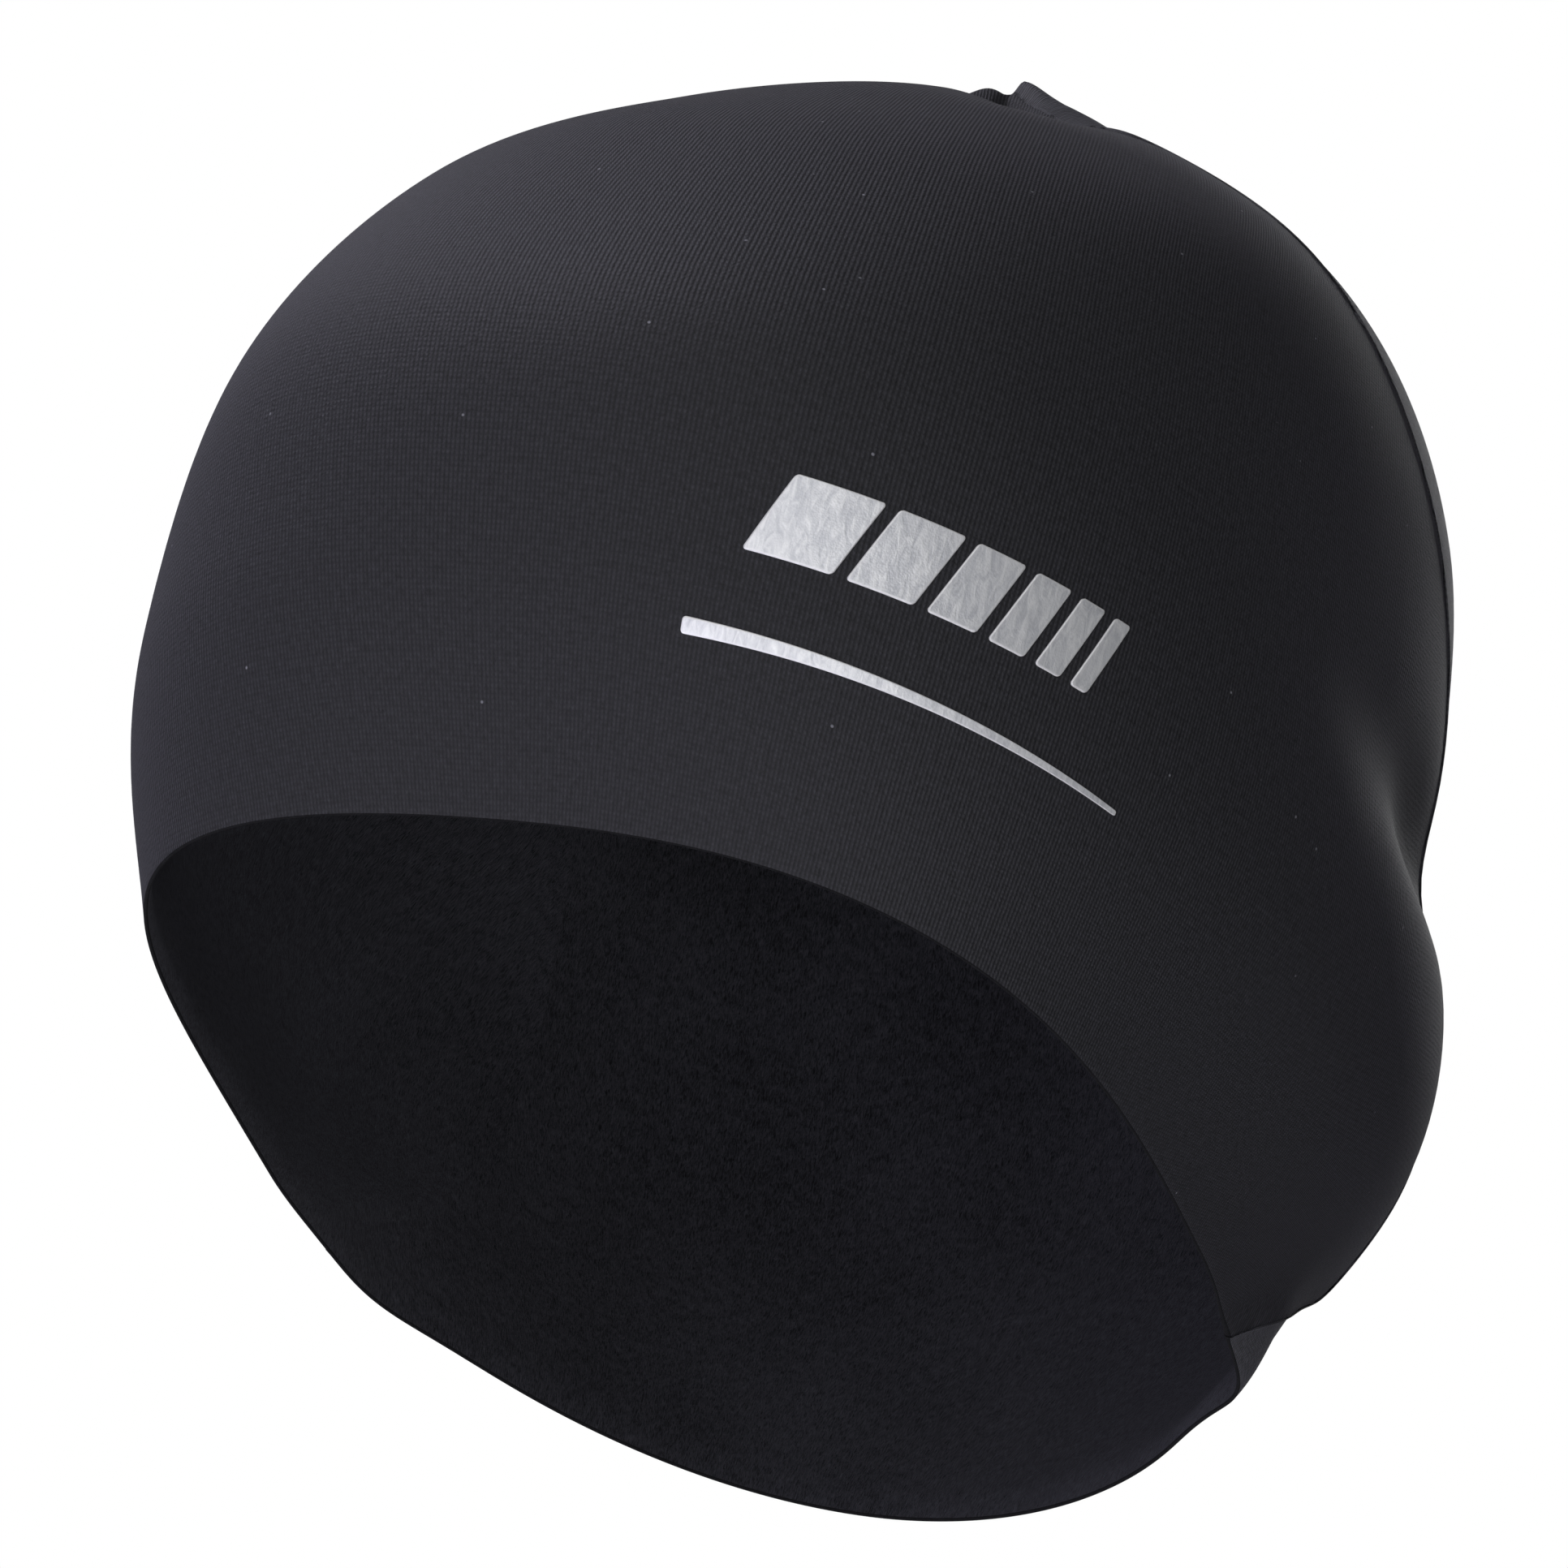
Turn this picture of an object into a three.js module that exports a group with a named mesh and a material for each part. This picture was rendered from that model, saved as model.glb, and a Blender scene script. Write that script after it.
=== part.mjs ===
// Helmet liner: a thin stretch knit skull cap that is worn under a helmet.
// It is two curved panels that meet at one seam over the crown and behind each ear, and a silver reflective print.
// Millimetres. +Z is up, -Y is the front and +X is the wearer's left.
// The origin is inside the cap at the top of the crown, where the head bears.
import * as THREE from 'three';
import { mergeVertices } from 'three/addons/utils/BufferGeometryUtils.js';

const radians = THREE.MathUtils.degToRad;
const named = (columns, row) => Object.fromEntries(columns.map((name, i) => [name, row[i]]));

// Driving sizes
const wall = 1.4;            // brushed thermal knit, stretched over a head
const seamGap = 0.3;         // between the two panels, where the seam's thread lies
const printThickness = 0.5;  // reflective transfer with its glue
const printLift = 0.3;       // between the transfer and the knit

// The courses run round the cap, one row each from the crown to the hem.
// halfWidth, front and back are measured from the crown's upright axis, and a drop is measured down from its top.
// square is 2 for an ellipse and more for a squarer one. seam is the seam's angle from the front, in degrees.
const courseColumns = [
  'halfWidth', 'front', 'back', 'dropFront', 'dropSide', 'dropBack', 'squareFront', 'squareBack', 'seam',
];
const courses = [
  [0, 0, 0, 0, 0, 0, 2.1, 2.1, 80],            // crown
  [27, 26, 30, 9, 7, 4, 2.1, 2.1, 84],         // round the crown
  [53, 55, 57, 25, 22, 17, 2.1, 2.1, 87],      // dome
  [69, 85, 77, 47, 47, 48, 2.2, 2.2, 100],     // shoulder
  [77, 107, 90, 79, 85, 92, 2.3, 1.9, 124],    // forehead and back of the head
  [82, 104, 85, 110, 123, 136, 2.3, 2.2, 128], // brow, ears and occiput
  [69, 86, 63, 142, 161, 180, 3.1, 1.9, 103],  // hem
];
const hemCourse = courses.length - 1;

// Dents and bulges. angle is in degrees from the front towards the wearer's left, drop is below the crown's top,
// out is how far the knit stands out, breadth is round the cap and length is down it.
const foldColumns = ['angle', 'drop', 'out', 'breadth', 'length'];
const folds = [
  [109, 92, -4.5, 25, 9.5],   // hollow above the left ear
  [-112, 94, -3.4, 24, 10],   // hollow above the right ear
  [136, 108, 3.0, 34, 24],    // the knit stands out behind the left hollow
  [-138, 110, 2.2, 32, 24],   // and behind the right one
  [112, 167, 3.4, 8.5, 10.5], // hem's corner behind the left ear
  [-112, 166, 1.6, 10, 10],   // hem's corner behind the right ear
].map((row) => named(foldColumns, row));

// Knit gathered where the seam is pulled tight over the crown. reach is the distance from the crown's middle,
// and size is how far a gather spreads.
const gatherColumns = ['angle', 'reach', 'out', 'size'];
const gathers = [
  [0, 0, 2.6, 5.5],     // the seam's peak
  [86, 7, 1.5, 5],      // ridge along the seam, left
  [88, 14, 0.7, 6],     // where the ridge runs out
  [-86, 7, 0.9, 5],     // ridge along the seam, right
  [-5, 11, -1.1, 5.5],  // dip in front of the peak
  [42, 15, -1.0, 6.5],  // shallow pocket beside the ridge
].map((row) => named(gatherColumns, row));

// Reflective print. Widths and heights are in millimetres along and across the courses.
const print = { angle: 33.5, bar: 4.78, line: 5.27, lineLength: 62, lineWidth: 2.2 };
const block = { height: 11, slant: 4.5, gap: 1.7, widths: [11.5, 9, 7, 5.4, 4, 2.8] };

// Meshing
const courseSteps = 28;
const crownCrowding = 1.25;  // above 1 the steps are shorter near the crown
const frontColumns = 46;
const backColumns = 40;
const mergeDistance = 1e-3;
const probe = 1e-3;          // step in angle and course for tangents

const knitMaterial = new THREE.MeshStandardMaterial({ color: 0x1b1c20, roughness: 0.82, metalness: 0 });
const backMaterial = new THREE.MeshStandardMaterial({ color: 0x1d1e22, roughness: 0.82, metalness: 0 });
const reflectiveMaterial = new THREE.MeshStandardMaterial({ color: 0xb9bcc0, roughness: 0.38, metalness: 0.6 });

// One column of the course table at a course that need not be whole, on a Catmull-Rom spline.
// Past the crown the spline meets the cap's other side, so lengths change sign there and drops don't.
const lengthColumns = 3;
function courseValue(column, course) {
  const i = Math.min(Math.max(Math.floor(course), 0), hemCourse - 1);
  const u = course - i;
  const value = (row) => {
    if (row < 0) return courses[1][column] * (column < lengthColumns ? -1 : 1);
    if (row > hemCourse) return 2 * courses[hemCourse][column] - courses[hemCourse - 1][column];
    return courses[row][column];
  };
  const [a, b, c, d] = [value(i - 1), value(i), value(i + 1), value(i + 2)];
  return 0.5 * (2 * b + (c - a) * u + (2 * a - 5 * b + 4 * c - d) * u * u + (3 * b - a - 3 * c + d) * u ** 3);
}

function courseAt(course) {
  return named(courseColumns, courseColumns.map((_, column) => courseValue(column, course)));
}

// How far the folds and the gathers push the knit out at a point of the smooth cap.
function outAt(point, angle) {
  const radius = Math.hypot(point.x, point.y);
  let out = 0;
  for (const fold of folds) {
    const turned = THREE.MathUtils.euclideanModulo(angle - fold.angle + 180, 360) - 180;
    const round = (radians(turned) * radius) / fold.breadth;
    const down = (wall - point.z - fold.drop) / fold.length;
    out += fold.out * Math.exp(-round * round - down * down);
  }
  for (const gather of gathers) {
    const [x, y] = [gather.reach * Math.sin(radians(gather.angle)), -gather.reach * Math.cos(radians(gather.angle))];
    out += gather.out * Math.exp(-((point.x - x) ** 2 + (point.y - y) ** 2) / gather.size ** 2);
  }
  return out;
}

// A point on the cap's outside, without its folds and with them.
function smoothPoint(angle, course) {
  const c = courseAt(course);
  const [s, k] = [Math.sin(radians(angle)), Math.cos(radians(angle))];
  const reach = Math.max(k > 0 ? c.front : c.back, probe);
  const square = k > 0 ? c.squareFront : c.squareBack;
  const across = (Math.abs(s) / Math.max(c.halfWidth, probe)) ** square;
  const radius = (across + (Math.abs(k) / reach) ** square) ** (-1 / square);
  const drop = (c.dropFront + c.dropBack + 2 * c.dropSide) / 4
    + ((c.dropFront - c.dropBack) / 2) * k
    + ((c.dropFront + c.dropBack - 2 * c.dropSide) / 4) * Math.cos(2 * radians(angle));
  return new THREE.Vector3(radius * s, -radius * k, wall - drop);
}

function normalOf(surface, angle, course) {
  const from = Math.max(course, 20 * probe);
  const round = surface(angle + 1, from).sub(surface(angle - 1, from));
  const down = surface(angle, from + probe).sub(surface(angle, from - probe));
  return down.cross(round).normalize();
}

function outerPoint(angle, course) {
  const point = smoothPoint(angle, course);
  const out = outAt(point, angle);
  return point.addScaledVector(normalOf(smoothPoint, angle, course), out);
}

function innerPoint(angle, course) {
  if (course === 0) return outerPoint(angle, 0).add(new THREE.Vector3(0, 0, -wall));
  return outerPoint(angle, course).addScaledVector(normalOf(outerPoint, angle, course), -wall);
}

// A closed sheet from two grids of points, outside and inside, as rows of columns.
// The rows run down the cap and the columns to the wearer's left. A first row may be a single point.
function sheetGeometry(outside, inside) {
  const rows = outside.length;
  const columns = outside[0].length;
  const positions = [...outside.flat(), ...inside.flat()].flatMap((point) => point.toArray());
  const index = [];
  const outer = (row, column) => row * columns + column;
  const inner = (row, column) => rows * columns + row * columns + column;
  const quad = (a, b, c, d) => index.push(a, b, c, a, c, d);
  for (let row = 0; row < rows - 1; row++) {
    for (let column = 0; column < columns - 1; column++) {
      quad(outer(row, column), outer(row + 1, column), outer(row + 1, column + 1), outer(row, column + 1));
      quad(inner(row, column), inner(row, column + 1), inner(row + 1, column + 1), inner(row + 1, column));
    }
    const last = columns - 1;
    quad(outer(row, 0), inner(row, 0), inner(row + 1, 0), outer(row + 1, 0));
    quad(outer(row, last), outer(row + 1, last), inner(row + 1, last), inner(row, last));
  }
  for (let column = 0; column < columns - 1; column++) {
    const last = rows - 1;
    quad(outer(0, column), outer(0, column + 1), inner(0, column + 1), inner(0, column));
    quad(outer(last, column), inner(last, column), inner(last, column + 1), outer(last, column + 1));
  }
  const geometry = new THREE.BufferGeometry();
  geometry.setAttribute('position', new THREE.Float32BufferAttribute(positions, 3));
  geometry.setIndex(index);
  const merged = mergeVertices(geometry, mergeDistance);
  merged.setIndex(withoutCollapsed(Array.from(merged.index.array)));
  merged.computeVertexNormals();
  return merged;
}

// Triangles that lost a side where a row is a single point are left out.
function withoutCollapsed(index) {
  const kept = [];
  for (let i = 0; i < index.length; i += 3) {
    const [a, b, c] = index.slice(i, i + 3);
    if (a !== b && b !== c && c !== a) kept.push(a, b, c);
  }
  return kept;
}

// A panel lies between the seams, about the angle at its middle: 0 for the front and 180 for the back.
function panelGeometry(middle, columns) {
  const angleAt = (course, across) => {
    const seam = courseValue(courseColumns.indexOf('seam'), course);
    return middle + across * (middle === 0 ? seam : 180 - seam);
  };
  const gridOf = (surface) => {
    const grid = [];
    for (let row = 0; row <= courseSteps; row++) {
      const course = hemCourse * (row / courseSteps) ** crownCrowding;
      const points = [];
      for (let column = 0; column <= columns; column++) {
        points.push(surface(angleAt(course, (2 * column) / columns - 1), course));
      }
      insetEdges(points, row === 0 ? middle : null);
      grid.push(points);
    }
    return grid;
  };
  return sheetGeometry(gridOf(outerPoint), gridOf(innerPoint));
}

// Moves a row's two ends in by half the seam's gap. The crown's single point moves towards the panel's middle.
function insetEdges(points, crownMiddle) {
  const inset = seamGap / 2;
  if (crownMiddle !== null) {
    const towards = new THREE.Vector3(0, crownMiddle === 0 ? -1 : 1, 0);
    points.forEach((point) => point.addScaledVector(towards, inset));
    return;
  }
  const last = points.length - 1;
  const inwards = [points[1].clone().sub(points[0]), points[last - 1].clone().sub(points[last])];
  points[0].addScaledVector(inwards[0].normalize(), inset);
  points[last].addScaledVector(inwards[1].normalize(), inset);
}

// A transfer on the cap: outline(u, v) gives millimetres along and above the course, for u and v from 0 to 1.
function transferGeometry(course, outline, columns, rows) {
  const perDegree = outerPoint(print.angle + 1, course).distanceTo(outerPoint(print.angle, course));
  const perCourse = outerPoint(print.angle, course + 0.1).distanceTo(outerPoint(print.angle, course)) * 10;
  const gridOf = (lift) => {
    const grid = [];
    for (let row = 0; row <= rows; row++) {
      const points = [];
      for (let column = 0; column <= columns; column++) {
        const [along, above] = outline(column / columns, 1 - row / rows);
        const [angle, at] = [print.angle + along / perDegree, course - above / perCourse];
        points.push(outerPoint(angle, at).addScaledVector(normalOf(outerPoint, angle, at), lift));
      }
      grid.push(points);
    }
    return grid;
  };
  return sheetGeometry(gridOf(printLift + printThickness), gridOf(printLift));
}

// A slanted block of the bar, between two distances along the course.
function blockOutline(start, width) {
  return (u, v) => [start + width * u + block.slant * (v - 0.5), block.height * (v - 0.5)];
}

// The thin line narrows to a point at its right end.
function lineOutline(u, v) {
  return [print.lineLength * (u - 0.5), print.lineWidth * (v - 0.5) * (1 - 0.7 * u)];
}

function namedMesh(name, geometry, material) {
  const mesh = new THREE.Mesh(geometry, material);
  mesh.name = name;
  return mesh;
}

function buildPanels() {
  const panels = new THREE.Group();
  panels.add(namedMesh('front_panel', panelGeometry(0, frontColumns), knitMaterial));
  panels.add(namedMesh('back_panel', panelGeometry(180, backColumns), backMaterial));
  return panels;
}

function buildPrint() {
  const transfers = new THREE.Group();
  const barLength = block.widths.reduce((sum, width) => sum + width + block.gap, -block.gap);
  let start = -barLength / 2;
  block.widths.forEach((width, i) => {
    const geometry = transferGeometry(print.bar, blockOutline(start, width), 3, 3);
    transfers.add(namedMesh(`reflective_block_${i + 1}`, geometry, reflectiveMaterial));
    start += width + block.gap;
  });
  const line = transferGeometry(print.line, lineOutline, 24, 1);
  transfers.add(namedMesh('reflective_line', line, reflectiveMaterial));
  return transfers;
}

const liner = new THREE.Group();
liner.add(buildPanels(), buildPrint());

export default liner;
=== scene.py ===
"""Helmet liner: the looks of a thin stretch-knit skull cap that is worn under a helmet.

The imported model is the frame, in metres: +Z is up, -Y is the front and +X is the wearer's left.
The cap's form is described in millimetres, course by course from the crown to the hem, as its solids are.
Each panel is made from that form as a sheet of knit with a smooth outside and a brushed inside.
"""

import logging
import math
from collections.abc import Callable
from dataclasses import astuple, dataclass, field
from enum import Enum
from functools import partial

import bmesh
import bpy
import numpy as np
from bpy.types import Material, Node, NodeSocket, NodeTree, Object
from mathutils import Matrix, Vector


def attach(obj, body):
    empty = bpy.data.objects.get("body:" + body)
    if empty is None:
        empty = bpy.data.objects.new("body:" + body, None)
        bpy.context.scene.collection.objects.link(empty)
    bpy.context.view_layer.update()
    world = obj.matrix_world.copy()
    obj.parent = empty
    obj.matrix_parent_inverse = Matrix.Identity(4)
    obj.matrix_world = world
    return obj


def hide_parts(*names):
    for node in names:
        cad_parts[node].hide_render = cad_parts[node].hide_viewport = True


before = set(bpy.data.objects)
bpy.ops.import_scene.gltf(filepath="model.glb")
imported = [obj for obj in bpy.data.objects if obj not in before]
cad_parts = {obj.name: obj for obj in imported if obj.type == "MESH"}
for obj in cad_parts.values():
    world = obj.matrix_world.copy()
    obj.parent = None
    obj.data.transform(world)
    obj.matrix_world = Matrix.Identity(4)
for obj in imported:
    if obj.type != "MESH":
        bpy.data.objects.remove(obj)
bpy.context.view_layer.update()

MM = 0.001
BODY = "root"
Array = np.ndarray
Surface = Callable[[Array, Array], Array]

log = logging.getLogger("helmet_liner")


class Slot(Enum):
    """The record's material slots."""

    KNIT = "knit"
    REFLECTIVE = "reflective"


class Hold(Enum):
    """How a sheet of cloth is held."""

    STRETCHED = "stretched"


class Side(Enum):
    """A side of a panel, as the number of its material."""

    OUTSIDE = 0
    INSIDE = 1
    CUT_EDGE = 2


# Form of the cap, in millimetres and degrees


def bell(away: Array, reach: float | Array, power: int = 2) -> Array:
    """A smooth hump, 1 where away is 0 and about a third at its reach. A higher power has a flatter top."""
    return np.exp(-((away / reach) ** power))


def ease(share: Array) -> Array:
    """Goes from 0 to 1 with the share, with a soft start and end."""
    return share**2 * (3 - 2 * share)


@dataclass(frozen=True)
class Course:
    """One row round the cap. Lengths start at the crown's upright axis and drops at its top.

    Square is the power of the row's curve in plan, 2 for an ellipse and more for a squarer one.
    """

    half_width: float
    front: float
    back: float
    drop_front: float
    drop_side: float
    drop_back: float
    square_front: float
    square_back: float
    seam: float  # degrees from the front
    wales: float  # width of the knit to a radian round the cap, as the vertical lines of stitches spread


@dataclass(frozen=True)
class Sway:
    """A place where the seam runs off its general course. Off is how far, in degrees from the front."""

    course: float
    off: float
    reach: float


@dataclass(frozen=True)
class Fold:
    """A dent or bulge in the wall. Out is how far the knit stands out."""

    angle: float
    drop: float
    out: float
    breadth: float
    length: float


@dataclass(frozen=True)
class Gather:
    """A bulge or dip near the crown, where the seam is pulled tight. Reach is its distance from the top."""

    angle: float
    reach: float
    out: float
    size: float


COURSES = (
    Course(0, 0, 0, 0, 0, 0, 2.1, 2.1, 80, 0),  # crown
    Course(27, 26, 30, 9, 7, 4, 2.1, 2.1, 84, 36),  # round the crown
    Course(53, 55, 57, 25, 22, 17, 2.1, 2.1, 87, 64),  # dome
    Course(69, 85, 77, 47, 47, 48, 2.2, 2.2, 100, 86),  # shoulder
    Course(77, 107, 90, 79, 85, 92, 2.3, 1.9, 124, 94),  # forehead and back of the head
    Course(82, 104, 85, 110, 123, 136, 2.3, 2.2, 128, 99),  # brow, ears and occiput
    Course(69, 86, 63, 142, 161, 180, 3.1, 1.9, 103, 101),  # hem
)

SWAYS = (
    Sway(0, -19, 1.17),  # the crown's gathers pull the seam forward
    Sway(5.4, 6.5, 0.28),  # it runs on behind the ear before it turns down to the hem
)

FOLDS = (
    Fold(109, 92, -4.5, 25, 9.5),  # hollow above the left ear
    Fold(-112, 94, -3.4, 24, 10),  # hollow above the right ear
    Fold(136, 108, 3.0, 34, 24),  # the knit stands out behind the left hollow
    Fold(-138, 110, 2.2, 32, 24),  # and behind the right one
    Fold(112, 167, 3.4, 8.5, 10.5),  # hem's corner behind the left ear
    Fold(-112, 166, 1.6, 10, 10),  # hem's corner behind the right ear
    Fold(120, 176, 0.4, 5.4, 6.3),  # the back panel's own corner behind the left ear
)

GATHERS = (
    Gather(0, 0, 2.6, 5.5),  # the seam's peak
    Gather(86, 7, 1.5, 5),  # ridge along the seam, left
    Gather(88, 14, 0.7, 6),  # where the ridge runs out
    Gather(-86, 7, 0.9, 5),  # ridge along the seam, right
    Gather(-5, 11, -1.1, 5.5),  # dip in front of the peak
    Gather(42, 15, -1.0, 6.5),  # shallow pocket beside the ridge
)

PUCKERS = (
    Gather(-55, 3.0, 1.4, 2.6),  # small hump before the notch
    Gather(43, 4.65, -2.75, 5.7),  # the knit falls from the seam's climbing edge
    Gather(43.5, 16.1, -4.95, 7.2),  # pocket of slack knit before the seam
    Gather(36, 31.8, -2.2, 10.8),  # the wide dip that the pocket runs out into
    Gather(112, 12, 1.2, 4.8),  # the rolled edge's end
)


@dataclass(frozen=True)
class SeamShape:
    """How the knit stands at the seam, in millimetres. Behind the seam is the back panel's side of it."""

    start: float = -1.06  # where the gathers at the crown start, from the cap's middle to the wearer's left
    full: float = 0.57  # where they are full
    roll: float = 3.7  # height of the edge that the gathers roll up behind the seam
    roll_rise: float = 0.57  # distance from the seam in which it rises
    roll_width: float = 6.4  # how far back it stays up
    roll_reach: float = 7.0  # how far it runs to the wearer's left
    climb: float = 2.4  # how high the front panel's edge climbs to the seam under the rolled edge
    climb_before: float = 1.04  # how far before the seam it starts
    climb_reach: float = 19.4  # how far it runs to the wearer's left
    draw: float = 1.3  # how deep the seam's line is drawn in
    draw_before: float = 7.3  # how far before the seam the knit slopes to it
    draw_behind: float = 0.85  # and how far behind it
    draw_reach: float = 19.4  # how far the drawn line runs to the wearer's left
    proud: float = 0.3  # how far the back panel's edge stands out on the wearer's left, all along the seam
    proud_right: float = 0.06  # and on the right
    proud_width: float = 0.9  # how far back it does
    lip: float = 0.6  # how far the front panel's edge stands over the back panel at the hem's corner
    lip_before: float = 3.2  # how far before the seam it swells
    lip_behind: float = 0.6  # how far behind the seam it has fallen
    lip_middle: float = 5.8  # the course that it is highest at
    lip_reach: float = 0.45  # how far it runs from there, in courses
    tuck: float = 1.6  # how far the back panel falls in behind the seam above the hem's corner
    tuck_edge: float = 3.3  # distance from the seam in which it falls
    tuck_width: float = 15.3  # how far back it stays fallen
    tuck_middle: float = 5.4  # the course that it is deepest at
    tuck_reach: float = 0.21  # how far it runs from there, in courses

    def out(self, behind: Array, left: Array, course: Array) -> Array:
        """How far the seam pushes the knit out.

        Args:
            behind: Distance behind the seam, negative before it.
            left: Distance from the cap's middle to the wearer's left.
            course: Courses from the crown.

        Returns:
            Millimetres outward.
        """
        back = np.maximum(behind, 0)
        past = np.maximum(left - self.full, 0)
        swell = ease(np.clip((left - self.start) / (self.full - self.start), 0, 1))
        rolled = (1 - bell(back, self.roll_rise)) * bell(back, self.roll_width, 4)
        out = self.roll * swell * bell(past, self.roll_reach) * rolled
        level = bell(behind, np.where(behind < 0, self.climb_before, self.roll_rise))
        out += self.climb * swell * bell(past, self.climb_reach) * level
        drawn = bell(behind, np.where(behind > 0, self.draw_behind, self.draw_before))
        out -= self.draw * swell * bell(past, self.draw_reach) * drawn
        out += np.where(left > 0, self.proud, self.proud_right) * (back > 0) * bell(back, self.proud_width)
        deep = self.tuck * bell(course - self.tuck_middle, self.tuck_reach)
        fallen = (1 - bell(back, self.tuck_edge)) * bell(back, self.tuck_width, 4)
        over = self.lip * bell(course - self.lip_middle, self.lip_reach)
        dropped = 1 - ease(np.clip(back / self.lip_behind, 0, 1))
        swollen = np.where(behind < 0, bell(behind, self.lip_before), dropped)
        return out + (over * swollen - deep * fallen) * (left > 0)


@dataclass(frozen=True)
class CapForm:
    """The cap's outside as a surface over the angle from the front and the course from crown to hem."""

    courses: tuple[Course, ...] = COURSES
    folds: tuple[Fold, ...] = FOLDS
    gathers: tuple[Gather, ...] = GATHERS
    puckers: tuple[Gather, ...] = PUCKERS
    sways: tuple[Sway, ...] = SWAYS
    seam_shape: SeamShape = SeamShape()
    wall: float = 1.4
    hem_wall: float = 0.55  # thickness at the clean-cut hem
    hem_taper: float = 0.12  # courses over which the wall grows thin
    probe: float = 1e-3  # smallest length to divide by, and half the step down that a slope is read over
    probe_angle: float = 1.0  # half the step round that a slope is read over, in degrees
    pole_step: float = 0.02  # nearest course to the crown's top that a slope is read at

    @property
    def hem(self) -> int:
        """Number of the last course."""
        return len(self.courses) - 1

    def columns(self, course: Array) -> Array:
        """Reads the course table between its rows, on a Catmull-Rom spline.

        Args:
            course: Courses, which need not be whole.

        Returns:
            The table's values, one more axis than course.
        """
        rows = np.array([astuple(row) for row in self.courses], float)
        # Past the crown's top the cap comes down on its other side, where lengths count as negative
        other_side = rows[1] * np.array([-1, -1, -1, 1, 1, 1, 1, 1, 1, -1])
        past_the_hem = 2 * rows[-1] - rows[-2]
        table = np.vstack([other_side, rows, past_the_hem])
        first = np.clip(np.floor(course).astype(int), 0, self.hem - 1)
        u = (course - first)[..., None]
        a, b, c, d = (table[first + step] for step in range(4))
        square = (2 * a - 5 * b + 4 * c - d) * u**2
        return 0.5 * (2 * b + (c - a) * u + square + (3 * b - a - 3 * c + d) * u**3)

    def seam(self, course: Array) -> Array:
        """Where the seam runs.

        Args:
            course: Courses from the crown.

        Returns:
            Degrees from the front.
        """
        angle = self.columns(course)[..., -2]
        for sway in self.sways:
            angle = angle + sway.off * bell(course - sway.course, sway.reach)
        return angle

    def wales(self, course: Array) -> Array:
        """Width of the knit to a radian round the cap at each course."""
        return self.columns(course)[..., -1]

    def behind_seam(self, points: Array, angle: Array, course: Array) -> Array:
        """How far behind the seam points of the smooth cap are.

        Args:
            points: The points.
            angle: Their degrees from the front.
            course: Their courses from the crown.

        Returns:
            Millimetres, negative before the seam.
        """
        turned = np.abs((angle + 180) % 360 - 180) - self.seam(course)
        radius = np.hypot(points[..., 0], points[..., 1])
        return radius * np.sin(np.radians(np.clip(turned, -90, 90)))

    def smooth(self, angle: Array, course: Array) -> Array:
        """Points on the outside without folds.

        Args:
            angle: Degrees from the front to the wearer's left.
            course: Courses from the crown.

        Returns:
            Points in millimetres, with x, y and z last.
        """
        table = np.moveaxis(self.columns(course), -1, 0)
        half_width, front, back, drop_front, drop_side, drop_back, square_front, square_back, _, _ = table
        turn = np.radians(angle)
        side, ahead = np.sin(turn), np.cos(turn)
        reach = np.maximum(np.where(ahead > 0, front, back), self.probe)
        square = np.where(ahead > 0, square_front, square_back)
        across = (np.abs(side) / np.maximum(half_width, self.probe)) ** square
        radius = (across + (np.abs(ahead) / reach) ** square) ** (-1 / square)
        drop = (drop_front + drop_back + 2 * drop_side) / 4
        drop = drop + (drop_front - drop_back) / 2 * ahead
        drop = drop + (drop_front + drop_back - 2 * drop_side) / 4 * np.cos(2 * turn)
        return np.stack([radius * side, -radius * ahead, self.wall - drop], -1)

    def normals(self, surface: Surface, angle: Array, course: Array) -> Array:
        """Outward normals of a surface over angle and course.

        Args:
            surface: The surface's points.
            angle: Degrees from the front.
            course: Courses from the crown.

        Returns:
            Unit vectors. At the crown's middle the normal is straight up.
        """
        low = np.maximum(course, self.pole_step)
        around = surface(angle + self.probe_angle, low) - surface(angle - self.probe_angle, low)
        down = surface(angle, low + self.probe) - surface(angle, low - self.probe)
        normal = np.cross(down, around)
        normal /= np.linalg.norm(normal, axis=-1, keepdims=True)
        normal[course == 0] = (0, 0, 1)
        return normal

    def gathered(self, points: Array, gathers: tuple[Gather, ...]) -> Array:
        """How far some gathers push the knit out.

        Args:
            points: Points of the smooth cap.
            gathers: The gathers.

        Returns:
            Millimetres outward.
        """
        out = np.zeros(points.shape[:-1])
        for gather in gathers:
            turn = math.radians(gather.angle)
            x, y = gather.reach * math.sin(turn), -gather.reach * math.cos(turn)
            away = (points[..., 0] - x) ** 2 + (points[..., 1] - y) ** 2
            out += gather.out * np.exp(-away / gather.size**2)
        return out

    def folded(self, points: Array, angle: Array) -> Array:
        """How far the folds push the knit out.

        Args:
            points: Points of the smooth cap.
            angle: Their degrees from the front.

        Returns:
            Millimetres outward.
        """
        out = np.zeros(points.shape[:-1])
        radius = np.hypot(points[..., 0], points[..., 1])
        for fold in self.folds:
            turned = (angle - fold.angle + 180) % 360 - 180
            around = np.radians(turned) * radius / fold.breadth
            down = (self.wall - points[..., 2] - fold.drop) / fold.length
            out += fold.out * np.exp(-(around**2) - down**2)
        return out

    def puckered(self, points: Array, angle: Array, course: Array) -> Array:
        """How far the small puckers and the seam push the knit out at points of the smooth cap."""
        behind = self.behind_seam(points, angle, course)
        return self.gathered(points, self.puckers) + self.seam_shape.out(behind, points[..., 0], course)

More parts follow.
